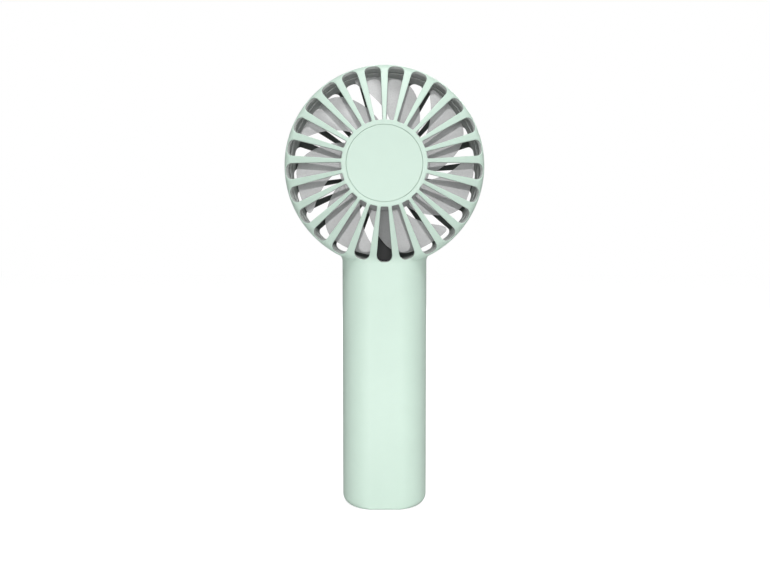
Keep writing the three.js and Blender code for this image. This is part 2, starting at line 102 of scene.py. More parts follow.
SLOTS = 25
SLOT_HALF_ANGLE = math.radians(4.9)
SLOT_CORNER = 3.0
SLOT_FILLET = 0.3
SLOT_DEPTH = 3.3
FRONT_SLOT = (HUB_R, 47.2)
REAR_SLOT = (20.5, 47.0)
# By side: -1 is the front and 1 the back.
NECK_SLOT_OUTER = {-1: 45.9, 1: 43.0}

NECK_Z = AXIS_Z - 40
NECK_SIDE_FILLET = 4.0
NECK_FRONT_FILLET = 8.0

SEGMENTS = 240


# ---------- mesh building ----------


def new_object(name, verts, faces):
    """An object from millimetre vertices, with its faces turned outwards."""
    mesh = bpy.data.meshes.new(name)
    mesh.from_pydata([(x * MM, y * MM, z * MM) for x, y, z in verts], [], faces)
    obj = bpy.data.objects.new(name, mesh)
    bpy.context.scene.collection.objects.link(obj)
    bm = bmesh.new()
    bm.from_mesh(mesh)
    bmesh.ops.recalc_face_normals(bm, faces=bm.faces)
    bm.to_mesh(mesh)
    bm.free()
    return obj


def revolved(name, profile, segments=SEGMENTS, centre=(0.0, AXIS_Z)):
    """A closed turned solid about an axis along Y.

    The (radius, y) profile starts and ends on the axis, or closes on itself.
    """
    verts, faces, rows = [], [], []
    for r, y in profile:
        if r < 1e-6:
            rows.append([len(verts)] * segments)
            verts.append((centre[0], y, centre[1]))
            continue
        rows.append(list(range(len(verts), len(verts) + segments)))
        for i in range(segments):
            a = 2 * math.pi * i / segments
            verts.append((centre[0] + r * math.sin(a), y, centre[1] + r * math.cos(a)))
    pairs = list(zip(rows, rows[1:]))
    if profile[0][0] > 1e-6:
        pairs.append((rows[-1], rows[0]))
    for low, high in pairs:
        for i in range(segments):
            j = (i + 1) % segments
            face = list(dict.fromkeys((low[i], low[j], high[j], high[i])))
            if len(face) > 2:
                faces.append(face)
    return new_object(name, verts, faces)


def lofted(name, rings):
    """A closed skin over rings of points, capped with strips across each end ring."""
    count = len(rings[0])
    verts = [p for ring in rings for p in ring]
    faces = []
    for level in range(len(rings) - 1):
        a, b = level * count, (level + 1) * count
        for i in range(count):
            j = (i + 1) % count
            faces.append((a + i, a + j, b + j, b + i))
    for start in (0, (len(rings) - 1) * count):
        for i in range(count // 2 - 1):
            quad = (start + i, start + i + 1, start + count - 2 - i, start + count - 1 - i)
            faces.append(tuple(dict.fromkeys(quad)))
    return new_object(name, verts, faces)


def box(name, across, along, up):
    """A block between two values each of x, y and z."""
    corners = [(across[0], up[0]), (across[1], up[0]), (across[1], up[1]), (across[0], up[1])]
    return lofted(name, [[(x, y, z) for x, z in corners] for y in along])


def joined(name, objects):
    """One object that holds the separate solids of several."""
    bm = bmesh.new()
    for o in objects:
        bm.from_mesh(o.data)
        bpy.data.objects.remove(o)
    mesh = bpy.data.meshes.new(name)
    bm.to_mesh(mesh)
    bm.free()
    obj = bpy.data.objects.new(name, mesh)
    bpy.context.scene.collection.objects.link(obj)
    return obj


def combine(target, tool, operation):
    """Applies one boolean with the tool, which is then removed."""
    modifier = target.modifiers.new("boolean", "BOOLEAN")
    modifier.object = tool
    modifier.operation = operation
    modifier.solver = "MANIFOLD"
    depsgraph = bpy.context.evaluated_depsgraph_get()
    mesh = bpy.data.meshes.new_from_object(target.evaluated_get(depsgraph))
    target.modifiers.clear()
    target.data = mesh
    bpy.data.objects.remove(tool)
    return target


def smooth(obj, angle=32):
    """Smooth shading with creases where faces meet more sharply than the angle."""
    bm = bmesh.new()
    bm.from_mesh(obj.data)
    bmesh.ops.remove_doubles(bm, verts=bm.verts, dist=1e-6)
    bmesh.ops.dissolve_degenerate(bm, edges=bm.edges, dist=1e-6)
    for face in bm.faces:
        face.smooth = True
    for edge in bm.edges:
        edge.smooth = len(edge.link_faces) == 2 and edge.calc_face_angle(0) < math.radians(angle)
    bm.to_mesh(obj.data)
    bm.free()
    weighted = obj.modifiers.new("normals", "WEIGHTED_NORMAL")
    weighted.keep_sharp = True
    weighted.weight = 80
    return obj


def arc(cx, cy, r, start, end, steps):
    """Points along an arc, with angles in degrees."""
    points = []
    for i in range(steps + 1):
        a = math.radians(start + (end - start) * i / steps)
        points.append((cx + r * math.cos(a), cy + r * math.sin(a)))
    return points


# ---------- the housing's outside, as heights from the parting plane ----------

SHOULDER_X = HEAD_R - SHOULDER_R
CONE_END = (
    SHOULDER_X + SHOULDER_R * math.sin(SHOULDER_SLOPE),
    SHOULDER_Y + SHOULDER_R * math.cos(SHOULDER_SLOPE),
)


def dome_height(radius):
    """Height of the grille's outside above the parting plane."""
    if radius <= HUB_R - HUB_EASE:
        return HALF_DEPTH
    if radius >= HEAD_R:
        return SHOULDER_Y
    if radius > CONE_END[0]:
        return SHOULDER_Y + math.sqrt(SHOULDER_R**2 - (radius - SHOULDER_X) ** 2)
    t = (radius - HUB_R) / (CONE_END[0] - HUB_R)
    cone = HALF_DEPTH + (CONE_END[1] - HALF_DEPTH) * t
    if t > 0:
        cone += BULGE * 4 * t**1.5 * (1 - t)
    ease = min((radius - HUB_R + HUB_EASE) / (2 * HUB_EASE), 1)
    return min(HALF_DEPTH, HALF_DEPTH + (cone - HALF_DEPTH) * ease**1.2)


def head_profile(inset, hub_inset):
    """The head's (radius, y) outline from the front of the axis to the back."""
    radii = [0, 6, 12, HUB_R - HUB_EASE]
    radii += list(np.linspace(HUB_R - HUB_EASE, CONE_END[0], 30)[1:-1])
    if inset:
        inner_end = SHOULDER_X + (SHOULDER_R - inset) * math.sin(SHOULDER_SLOPE)
        radii = [r for r in radii if r < inner_end - 1]
    half = []
    for r in radii:
        share = r / CONE_END[0]
        half.append((r, dome_height(r) - hub_inset * (1 - share) - inset * share))
    half += arc(SHOULDER_X, SHOULDER_Y, SHOULDER_R - inset, 90 - math.degrees(SHOULDER_SLOPE), 0, 14)
    half.append((HEAD_R - inset, SHOULDER_Y / 2))
    half.append((HEAD_R - inset, SEAM_ROW))
    return [(r, -y) for r, y in half] + [(r, y) for r, y in reversed(half)]


def stadium(half_width, half_depth, steps=22):
    """A flat-sided outline with half-round ends, as (x, y, normal x, normal y).

    It has a row of points on each side of the parting plane.
    """
    flat = half_width - half_depth
    seam = math.degrees(math.asin(SEAM_ROW / half_depth))
    angles = list(np.linspace(-90, -seam, steps)) + list(np.linspace(seam, 90, steps))
    points = []
    for side in (1, -1):
        for degrees in angles:
            a = math.radians(degrees) + (math.pi if side < 0 else 0)
            nx, ny = math.cos(a), math.sin(a)
            points.append((side * flat + half_depth * nx, half_depth * ny, nx, ny))
        for share in (0.25, 0.5, 0.75):
            points.append((side * flat * (1 - 2 * share), side * half_depth, 0, side))
    return points


def flare_start(radius, reach):
    """Height where a fillet of that radius, up to the head, leaves a handle of that half width."""
    return AXIS_Z - math.sqrt((HEAD_R + radius) ** 2 - (reach + radius) ** 2)


SIDE_FLARE_Z = flare_start(NECK_SIDE_FILLET, HANDLE_HALF_WIDTH)
SIDE_RISE = 3.7
FRONT_FLARE_Z = SIDE_FLARE_Z - 0.9
HANDLE_TOP = SIDE_FLARE_Z + 3.6
FRONT_RISE = NECK_FRONT_FILLET * math.sin(SHOULDER_SLOPE)


def flare(z, start, radius, limit):
    """How far a flare has grown outwards at a height."""
    rise = min(max(z - start, 0), limit)
    return radius - math.sqrt(radius**2 - rise**2)


def foot_inset(z, nx):
    """How far the foot is drawn in at a height, with a larger round where the wall faces sideways."""
    radius = BASE_FILLET + (FOOT_SIDE - BASE_FILLET) * abs(nx)
    return radius - math.sqrt(radius**2 - max(radius - z, 0) ** 2)


def handle_ring(z, inset=0.0):
    """One ring of the handle. An inset ring is plain; the outer one has the foot and the flares."""
    ring = []
    side = flare(z, SIDE_FLARE_Z, NECK_SIDE_FILLET, SIDE_RISE)
    face = flare(z, FRONT_FLARE_Z, NECK_FRONT_FILLET, FRONT_RISE)
    for x, y, nx, ny in stadium(HANDLE_HALF_WIDTH - inset, HANDLE_FRONT - inset):
        grow = 0 if inset else nx**2 * side + ny**2 * face - foot_inset(z, nx)
        ring.append((x + nx * grow, y + ny * grow, z))
    return ring


def handle_solid():
    """The handle's outside, from the floor to where it has run into the head."""
    levels = [FOOT_SIDE * (1 - math.cos(a)) for a in np.linspace(0, math.pi / 2, 15)]
    levels += list(np.linspace(FOOT_SIDE, FRONT_FLARE_Z, 15)[1:])
    levels += list(np.linspace(FRONT_FLARE_Z, HANDLE_TOP, 14)[1:])
    return lofted("handle", [handle_ring(z) for z in levels])


def housing_shell():
    """The whole shell before it is parted: head and handle, hollow."""
    outside = combine(revolved("outside", head_profile(0, 0)), handle_solid(), "UNION")
    cavity = lofted("cavity", [handle_ring(z, WALL) for z in np.linspace(WALL, HANDLE_CAVITY_TOP, 8)])
    inside = combine(revolved("inside", head_profile(RIM_WALL, HUB_WALL)), cavity, "UNION")
    return combine(outside, inside, "DIFFERENCE")


def half_of(shell, side, name):
    """The front (-1) or back (1) half, with a small chamfer along the parting line."""
    half = shell.copy()
    half.data = shell.data.copy()
    half.name = name
    bpy.context.scene.collection.objects.link(half)
    margin = 20.0
    reach = HEAD_R + margin
    keep = box("keep", (-reach, reach), (side * SEAM_HALF_GAP, side * reach), (-margin, TOP + margin))
    combine(half, keep, "INTERSECT")
    chamfer_seam(half)
    return half


def chamfer_seam(half):
    """Draws in the edge of the parting line: round the head, down the handle and under the foot."""
    near = 0.01
    foot_x = HANDLE_HALF_WIDTH - FOOT_SIDE
    for vertex in half.data.vertices:
        x, y, z = vertex.co / MM
        if abs(abs(y) - SEAM_HALF_GAP) > near:
            continue
        radius = math.hypot(x, z - AXIS_Z)
        at_rim = radius > HEAD_R - 0.3
        if z > SIDE_FLARE_Z and at_rim:
            scale = (radius - SEAM_CHAMFER) / radius
            x *= scale
            z = AXIS_Z + (z - AXIS_Z) * scale
        elif z < AXIS_Z and abs(x) > foot_x - near and at_rim:
            away = Vector((abs(x) - foot_x, min(z - FOOT_SIDE, 0))).normalized()
            x -= math.copysign(away.x, x) * SEAM_CHAMFER
            z -= away.y * SEAM_CHAMFER
        elif z < near:
            z += SEAM_CHAMFER
        vertex.co = (x * MM, y * MM, z * MM)


# ---------- carving holes with rounded edges ----------


def handle_height(x, z):
    """Height of the handle's outside above the parting plane."""
    over = max(abs(x) - HANDLE_FLAT, 0)
    if over >= HANDLE_FRONT:
        return 0.0
    return math.sqrt(HANDLE_FRONT**2 - over**2) + flare(z, FRONT_FLARE_Z, NECK_FRONT_FILLET, FRONT_RISE)


def shell_height(x, z):
    """Height of the housing's outside, head and handle together."""
    radius = math.hypot(x, z - AXIS_Z)
    head = dome_height(radius) if radius < HEAD_R else 0
    return max(head, handle_height(x, z)) if z < NECK_Z else head


def shell_normal(x, z, step=0.05):
    """The outward direction of the housing's outside, on the positive side of the parting plane."""
    dx = (shell_height(x + step, z) - shell_height(x - step, z)) / (2 * step)
    dz = (shell_height(x, z + step) - shell_height(x, z - step)) / (2 * step)
    return Vector((-dx, 1, -dz)).normalized()


def carver(outline, side, fillet, depth, floor=None, square=False):
    """A closed cutter through the front (-1) or back (1) of the shell; outline(offset) gives (x, z) points.

    Its wall meets the outside in a fillet. It follows the surface's normal, or Y where square, down to
    the depth or to a flat floor at that height.
    """
    levels = [(fillet, -1.4), (fillet, -0.02)]
    for degrees in (72, 54, 36, 18, 0):
        a = math.radians(degrees)
        levels.append((fillet * (1 - math.cos(a)), fillet * (1 - math.sin(a))))
    levels += [(0.0, depth * share) for share in (0.4, 0.7, 1.0) if depth * share > fillet]
    rings = []
    for offset, down in levels:
        ring = []
        for x, z in outline(offset):
            normal = Vector((0, 1, 0)) if square else shell_normal(x, z)
            point = Vector((x, shell_height(x, z), z)) - normal * down
            if floor is not None and down == depth:
                point.y = floor
            ring.append((point.x, side * point.y, point.z))
        rings.append(ring)
    return lofted("cutter", rings)


def slot_outline(inner, outer, angle, corner=SLOT_CORNER):
    """The outline of one slot as a function of an offset: it points down, then turns about the axis."""
    sin_a, cos_a = math.sin(SLOT_HALF_ANGLE), math.cos(SLOT_HALF_ANGLE)
    end_y = outer - corner
    end_x = (end_y * sin_a - corner) / cos_a
    foot_r = 0.5
    foot_x = inner * math.tan(SLOT_HALF_ANGLE) - foot_r
    lean = math.degrees(SLOT_HALF_ANGLE)

    def outline(offset):
        half = [(0.0, inner - offset)]
        half += arc(foot_x, inner + foot_r, foot_r + offset, -90, -5, 4)
        start, end = half[-1][1], end_y - corner * sin_a
        for t in np.linspace(0, 1, 18)[1:-1]:
            r = start + (end - start) * t
            half.append((r * math.tan(SLOT_HALF_ANGLE) + offset / cos_a, r))
        half += arc(end_x, end_y, corner + offset, -lean, 90, 12)
        half.append((0.0, outer + offset))
        points = half + [(-x, r) for x, r in reversed(half[1:-1])]
        c, s = math.cos(angle), math.sin(angle)
        return [(x * c - r * s, AXIS_Z - (x * s + r * c)) for x, r in points]

    return outline


def round_outline(x, z, radius, steps=36):
    """A circle's outline as a function of an offset."""
    def outline(offset):
        r = radius + offset
        turns = [2 * math.pi * (i + 0.5) / steps for i in range(steps)]
        return [(x + r * math.sin(a), z - r * math.cos(a)) for a in turns]

    return outline


def oblong_outline(z, half_width, half_height, steps=12):
    """The outline of a mouth with half-round ends, centred on x = 0, as a function of an offset."""
    def outline(offset):
        r = half_height + offset
        flat = half_width - half_height
        right = arc(flat, 0, r, -90, 90, steps)
        points = right + [(-a, b) for a, b in reversed(right)]
        return [(a, z + b) for a, b in points]

    return outline


def slot_cutters(limits, side, skipped=()):
    """The grille's slots on one side; the three nearest the handle end sooner than the others."""
    cutters = []
    for i in range(SLOTS):
        if i in skipped:
            continue
        inner, outer = limits
        if min(i, SLOTS - i) <= 1:
            outer = NECK_SLOT_OUTER[side]
        outline = slot_outline(inner, outer, 2 * math.pi * i / SLOTS)
        cutters.append(carver(outline, side, SLOT_FILLET, SLOT_DEPTH))
    return joined("slots", cutters)


# ---------- housing halves and hub disc ----------

CAP_R = 17.7
CAP_THICKNESS = 0.8
CAP_SEAT_R = 17.83
CAP_SEAT_DEPTH = 1.1
BOSS_INNER, BOSS_OUTER, BOSS_FRONT = 17.6, 19.0, 8.6
BOSS_EDGE = 0.4

SHELL_SCREWS = [f"shell_screw_{i}" for i in range(1, 5)]
LIGHTS = [f"led_{i}" for i in range(1, 5)]
SCREW_HEAD_R, SCREW_HEAD_Y = 1.9, 5.9
SCREW_LENGTH = 11
SCREW_SEAT_R, SCREW_SEAT_Y = 2.3, 5.6
SCREW_TUBE_R = 3.2
SCREW_TUBE_FRONT, SCREW_TUBE_BACK = 0.3, 7.8
BUTTON_HOLE_R = 5.8
LIGHT_HOLE_R = 1.2
SOCKET_HALF_WIDTH, SOCKET_HALF_HEIGHT = 4.75, 1.9
HOLE_DEPTH = 3.5
SCREW_SEAT_DEPTH = 4.0
HOLE_EDGE, BUTTON_HOLE_EDGE, LIGHT_HOLE_EDGE = 0.3, 0.35, 0.15

LIP_THICKNESS = 0.6
LIP_CLEARANCE = 0.15
LIP_REACH = 0.8
LIP_ROOT_Y = 0.25
LIP_ROOT = 0.55


def front_housing(shell):
    """The front half, with its slots and the seat for the hub disc."""
    half = half_of(shell, -1, "front_shell")
    combine(half, slot_cutters(FRONT_SLOT, -1), "DIFFERENCE")
    face = -HALF_DEPTH
    mouth_r = CAP_SEAT_R + 0.12
    floor = face + CAP_SEAT_DEPTH
    seat = [(0, face - 1), (mouth_r, face - 1), (mouth_r, face - 0.01), (CAP_SEAT_R + 0.03, face + 0.06),
            (CAP_SEAT_R, face + 0.16), (CAP_SEAT_R, floor), (0, floor)]
    return combine(half, revolved("seat", seat), "DIFFERENCE")


def handle_band(grow, along):
    """A rectangular band inside the handle, as thick as the lip plus the growth of its outer edge."""
    half_width = HANDLE_HALF_WIDTH - WALL - LIP_CLEARANCE
    bottom, top = WALL + LIP_CLEARANCE, HANDLE_CAVITY_TOP - LIP_CLEARANCE
    outer = box("band", (-half_width - grow, half_width + grow), along, (bottom - grow, top + grow))
    half_width -= LIP_THICKNESS
    opening = box("opening", (-half_width, half_width), (along[0] - 1, along[1] + 1),
                  (bottom + LIP_THICKNESS, top - LIP_THICKNESS))
    return combine(outer, opening, "DIFFERENCE")


def add_lip(half):
    """The tongue along the parting line that the back half slides into the front one."""
    outer = HEAD_R - RIM_WALL - LIP_CLEARANCE
    inner, root = outer - LIP_THICKNESS, outer + LIP_ROOT
    ring = [(inner, -LIP_REACH), (outer, -LIP_REACH), (outer, LIP_ROOT_Y), (root, LIP_ROOT_Y),
            (root, LIP_REACH), (inner, LIP_REACH)]
    combine(half, revolved("lip", ring), "UNION")
    combine(half, handle_band(0.0, (-LIP_REACH, LIP_REACH)), "UNION")
    combine(half, handle_band(LIP_ROOT, (LIP_ROOT_Y, LIP_REACH)), "UNION")


def boss_ring():
    """The ring inside the back that carries the motor board."""
    back = HALF_DEPTH - HUB_WALL
    ring = arc(BOSS_INNER + BOSS_EDGE, BOSS_FRONT + BOSS_EDGE, BOSS_EDGE, 180, 270, 4)
    ring += arc(BOSS_OUTER - BOSS_EDGE, BOSS_FRONT + BOSS_EDGE, BOSS_EDGE, 270, 360, 4)
    ring += [(BOSS_OUTER, back + 0.4), (BOSS_INNER, back + 1.0)]
    return revolved("boss", ring)


def back_cutters():
    """The screw seats and the holes for the button, the lights and the charging socket."""
    cutters = []
    for node in SHELL_SCREWS:
        outline = round_outline(*middle_of(node), SCREW_SEAT_R)
        cutters.append(carver(outline, 1, HOLE_EDGE, SCREW_SEAT_DEPTH, SCREW_SEAT_Y, square=True))
    button_outline = round_outline(0, middle_of("power_button")[1], BUTTON_HOLE_R, 72)
    cutters.append(carver(button_outline, 1, BUTTON_HOLE_EDGE, HOLE_DEPTH, square=True))
    for node in LIGHTS:
        outline = round_outline(*middle_of(node), LIGHT_HOLE_R, 24)
        cutters.append(carver(outline, 1, LIGHT_HOLE_EDGE, HOLE_DEPTH, square=True))
    mouth = oblong_outline(middle_of("charging_socket")[1], SOCKET_HALF_WIDTH, SOCKET_HALF_HEIGHT)
    cutters.append(carver(mouth, 1, HOLE_EDGE, HOLE_DEPTH, square=True))
    return joined("holes", cutters)


def back_housing(shell):
    """The back half, with its lip, motor ring, screw tubes, slots and holes."""
    half = half_of(shell, 1, "back_shell")
    add_lip(half)
    combine(half, boss_ring(), "UNION")
    tube = [(0, SCREW_TUBE_FRONT), (SCREW_TUBE_R, SCREW_TUBE_FRONT), (SCREW_TUBE_R, SCREW_TUBE_BACK),
            (0, SCREW_TUBE_BACK)]
    tubes = [revolved("tube", tube, 32, middle_of(node)) for node in SHELL_SCREWS]
    combine(half, joined("tubes", tubes), "UNION")
    combine(half, slot_cutters(REAR_SLOT, 1, skipped=(0,)), "DIFFERENCE")
    return combine(half, back_cutters(), "DIFFERENCE")


def hub_cap():
    """The disc set into the front hub, with a rounded edge."""
    edge = 0.22
    face, back = -HALF_DEPTH, CAP_THICKNESS - HALF_DEPTH
    profile = [(0, face), (CAP_R / 2, face)]
    profile += arc(CAP_R - edge, face + edge, edge, -90, 0, 5)
    profile += [(CAP_R, back), (0, back)]
    return revolved("hub_disc", profile)


# ---------- impeller ----------

BLADES = 7
BLADE_ROOT, BLADE_TIP = 20.7, 43.1
BLADE_SPAN = math.radians(41)
BLADE_START = math.radians(-13.9)
BLADE_REF_R = 36.0
BLADE_SWEEP = math.radians(1.4)
BLADE_FRONT, BLADE_BACK = -15.0, -1.0
BLADE_FRONT_SLOPE = 0.17
BLADE_HALF_THICKNESS = 0.42
BLADE_CORNER = 5.5
BLADE_CAMBER = 0.8
# How late the thickness drops towards the tip and the edges, and the least share of it that is left.
TIP_SQUARENESS, TIP_SHARE = 14, 0.25
EDGE_SQUARENESS, EDGE_SHARE_SQUARED = 12, 0.06

HUB_OUTER_R = 21.5
HUB_SKIN = 1.5
HUB_CORNER = 3.0
RING_INNER_R, RING_OUTER_R = 15.75, 17.2


def blade(number):
    """A thin swept sheet with rounded edges and corners.

    Seen from the front, it runs clockwise from its front edge to its back edge.
    """
    corner_start = BLADE_TIP - BLADE_CORNER
    radii = [*np.linspace(BLADE_ROOT, corner_start, 16)]
    radii += [corner_start + BLADE_CORNER * math.sin(a) for a in np.linspace(0, math.pi / 2, 14)[1:]]
    across = 24
    rings = []
    for r in radii:
        over = max(r - corner_start, 0)
        trim = (BLADE_CORNER - math.sqrt(max(BLADE_CORNER**2 - over**2, 0))) / (r * BLADE_SPAN)
        front_y = BLADE_FRONT + BLADE_FRONT_SLOPE * (r - BLADE_ROOT)
        thin = max(math.sqrt(max(1 - (over / BLADE_CORNER) ** TIP_SQUARENESS, 0)), TIP_SHARE)
        front, back = [], []
        for i in range(across + 1):
            t = (1 - math.cos(math.pi * i / across)) / 2
            share = trim + (1 - 2 * trim) * t
            angle = BLADE_START + BLADE_SWEEP * (BLADE_REF_R - r) + BLADE_SPAN * share
            angle += 2 * math.pi * number / BLADES
            y = front_y + (BLADE_BACK - front_y) * share + BLADE_CAMBER * math.sin(math.pi * share)
            edge = max(1 - abs(2 * t - 1) ** EDGE_SQUARENESS, EDGE_SHARE_SQUARED)
            half = BLADE_HALF_THICKNESS * thin * math.sqrt(edge)
            x, z = r * math.sin(angle), AXIS_Z + r * math.cos(angle)
            front.append((x, y - half, z))
            back.append((x, y + half, z))
        rings.append(front + back[::-1])
    return lofted("blade", rings)


def impeller():
    """The blades on a cup-shaped hub, with the inner ring that takes the motor's rotor."""
    front, back = box_mm("impeller")[0][1], BLADE_BACK + 3
    inside = front + HUB_SKIN
    wall_r = HUB_OUTER_R - HUB_SKIN
    hub = [(0, front), (8, front), (HUB_OUTER_R - 5, front + 0.2)]
    hub += arc(HUB_OUTER_R - HUB_CORNER, front + HUB_CORNER + 0.2, HUB_CORNER, -84, 0, 12)
    hub += [(HUB_OUTER_R, back - 0.2), (HUB_OUTER_R - 0.2, back), (wall_r + 0.2, back), (wall_r, back - 0.2)]
    hub += [(wall_r, front + 3.4), (RING_OUTER_R, inside + 0.2), (RING_OUTER_R, back), (RING_INNER_R, back)]
    hub += [(RING_INNER_R, inside), (0, inside)]
    body = revolved("impeller_body", hub, 160)
    for i in range(BLADES):
        combine(body, blade(i), "UNION")
    return body


# ---------- small parts ----------

SHANK_R = 1.0
RECESS_DEPTH = 0.9
RECESS_HALF_WIDTH = 0.24
RECESS_TAPER = 0.45
BUTTON_R = 5.5
BUTTON_FLANGE_R = 6.8
BUTTON_EDGE = 0.6
LIGHT_BAR_BACK = 11.2
WINDOW_R = 0.98
WINDOW_BACK = 9.0


def recess_arm(x, z, top, half_width, half_height, taper):
    """One arm of a cross recess, narrower at its floor: the taper holds its shares of x and z there."""
    rings = []
    for y, deep in ((top + 1, False), (top, False), (top - RECESS_DEPTH, True)):
        across = half_width * (taper[0] if deep else 1)
        up = half_height * (taper[1] if deep else 1)
        corners = [(x - across, z - up), (x + across, z - up), (x + across, z + up), (x - across, z + up)]
        rings.append([(a, y, b) for a, b in corners])
    return lofted("recess", rings)


def screw_head(name, place):
    """A pan-head screw seen from the back, with a cross recess."""
    radius, seat = SCREW_HEAD_R, SCREW_HEAD_Y
    tip, top = seat - SCREW_LENGTH, seat + radius * 0.95
    profile = [(0, tip), (0.45, tip), (SHANK_R, tip + 1.2), (SHANK_R, seat), (radius, seat)]
    profile += [(radius, seat + 0.5), (radius * 0.94, seat + 1.0), (radius * 0.78, top - 0.22)]
    profile += [(radius * 0.5, top - 0.04), (0, top)]
    body = revolved(name, profile, 40, place)
    arm = radius * 0.6
    combine(body, recess_arm(*place, top, arm, RECESS_HALF_WIDTH, (RECESS_TAPER, 1)), "DIFFERENCE")
    combine(body, recess_arm(*place, top, RECESS_HALF_WIDTH, arm, (1, RECESS_TAPER)), "DIFFERENCE")
    return body


def button():
    """A round cap with a shallow dish, on its retaining flange."""
    low, high = box_mm("power_button")
    face, back = high[1], low[1]
    flange_front = back + 1
    profile = [(0, back), (BUTTON_FLANGE_R, back), (BUTTON_FLANGE_R, flange_front)]
    profile += [(BUTTON_R, flange_front), (BUTTON_R, face - BUTTON_EDGE)]
    profile += arc(BUTTON_R - BUTTON_EDGE, face - BUTTON_EDGE, BUTTON_EDGE, 0, 90, 7)
    dish = ((4.3, 0.03), (3.2, 0.16), (2.0, 0.25), (1.0, 0.29), (0, 0.3))
    profile += [(r, face - deep) for r, deep in dish]
    return revolved("button_cap", profile, 96, middle_of("power_button"))


def light_guide():
    """The light guide's bar with four domed windows."""
    low, high = box_mm("light_pipe")
    bar = box("light_guide_bar", (low[0], high[0]), (low[1], LIGHT_BAR_BACK), (low[2], high[2]))
    face = high[1]
    window = [(0, WINDOW_BACK), (WINDOW_R, WINDOW_BACK), (WINDOW_R, face - 0.3), (0.9, face - 0.16)]
    window += [(0.6, face - 0.05), (0, face)]
    for node in LIGHTS:
        combine(bar, revolved("window", window, 28, middle_of(node)), "UNION")
    return bar


# ---------- materials ----------

# Painted light on the dark inside plastic: it gets paler towards the front between these values of y, and
# towards the outer slot ends between these distances from the axis.
LIGHT_FADE_Y = (1.0, -13.0)
LIGHT_FADE_RIM_R = (44.6, 46.0)

# The colour sockets of a mix node by number, because their names repeat for each kind of data.
MIX_A, MIX_B, MIX_RESULT = 6, 7, 2


def node_material(name):
    """A new material, its node tree and its shader."""
    material = bpy.data.materials.new(name)
    material.use_nodes = True
    tree = material.node_tree
    return material, tree, tree.nodes["Principled BSDF"]


def textured(name, colour, roughness, grain=0.3, bump=0.04, mottle=0.03, metallic=0.0, **sockets):
    """A moulded or metal surface: slow colour mottle, fine grain in the roughness, and a shallow bump.

    grain is the size of the fine texture in millimetres, bump its strength, and mottle the spread of
    brightness. Other values go to the shader's sockets of the same names.
    """
    material, tree, shader = node_material(name)
    nodes, links = tree.nodes, tree.links
    place = nodes.new("ShaderNodeTexCoord")
    slow = nodes.new("ShaderNodeTexNoise")
    slow.inputs["Scale"].default_value = 60
    slow.inputs["Detail"].default_value = 3
    fine = nodes.new("ShaderNodeTexNoise")
    fine.inputs["Scale"].default_value = 1 / (grain * MM)
    fine.inputs["Detail"].default_value = 4
    links.new(place.outputs["Object"], slow.inputs["Vector"])
    links.new(place.outputs["Object"], fine.inputs["Vector"])
    ramp = nodes.new("ShaderNodeValToRGB")
    for element, factor in zip(ramp.color_ramp.elements, (1 - mottle, 1 + mottle)):
        element.color = (*(min(c * factor, 1.0) for c in colour), 1)
    ramp.color_ramp.elements[0].position, ramp.color_ramp.elements[1].position = 0.3, 0.7
    links.new(slow.outputs["Fac"], ramp.inputs["Fac"])
    links.new(ramp.outputs["Color"], shader.inputs["Base Color"])
    spread = nodes.new("ShaderNodeMapRange")
    spread.inputs["To Min"].default_value = roughness - 0.05
    spread.inputs["To Max"].default_value = roughness + 0.05
    links.new(fine.outputs["Fac"], spread.inputs["Value"])
    links.new(spread.outputs["Result"], shader.inputs["Roughness"])
    relief = nodes.new("ShaderNodeBump")
    relief.inputs["Strength"].default_value = bump
    relief.inputs["Distance"].default_value = grain * MM * 0.5
    links.new(fine.outputs["Fac"], relief.inputs["Height"])
    links.new(relief.outputs["Normal"], shader.inputs["Normal"])
    shader.inputs["Metallic"].default_value = metallic
    for socket, value in sockets.items():
        shader.inputs[socket.replace("_", " ")].default_value = value
    return material


def brushed(name, colour, roughness, stretch=(1, 30, 1), bands=900):
    """Metal with fine lines along one direction."""
    material = textured(name, colour, roughness, grain=0.2, bump=0.03, mottle=0.04, metallic=1.0)
    nodes, links = material.node_tree.nodes, material.node_tree.links
    mapping = nodes.new("ShaderNodeMapping")
    mapping.inputs["Scale"].default_value = stretch
    lines = nodes.new("ShaderNodeTexNoise")
    lines.inputs["Scale"].default_value = bands
    relief = next(n for n in nodes if n.type == "BUMP")
    place = next(n for n in nodes if n.type == "TEX_COORD")
    links.new(place.outputs["Object"], mapping.inputs["Vector"])
    links.new(mapping.outputs["Vector"], lines.inputs["Vector"])
    links.new(lines.outputs["Fac"], relief.inputs["Height"])
    return material


def fade_between(tree, value, start, end):
    """A smooth 0 to 1 share as a value in metres runs between two sizes in millimetres."""
    fade = tree.nodes.new("ShaderNodeMapRange")
    fade.interpolation_type = "SMOOTHSTEP"
    fade.inputs["From Min"].default_value = start * MM
    fade.inputs["From Max"].default_value = end * MM
    tree.links.new(value, fade.inputs["Value"])
    return fade.outputs["Result"]


def blended(tree, share, base, colour):
    """A base colour that turns to another one as the share rises."""
    mix = tree.nodes.new("ShaderNodeMix")
    mix.data_type = "RGBA"
    mix.inputs[MIX_B].default_value = (*colour, 1)
    tree.links.new(share, mix.inputs["Factor"])
    tree.links.new(base, mix.inputs[MIX_A])
    return mix.outputs[MIX_RESULT]


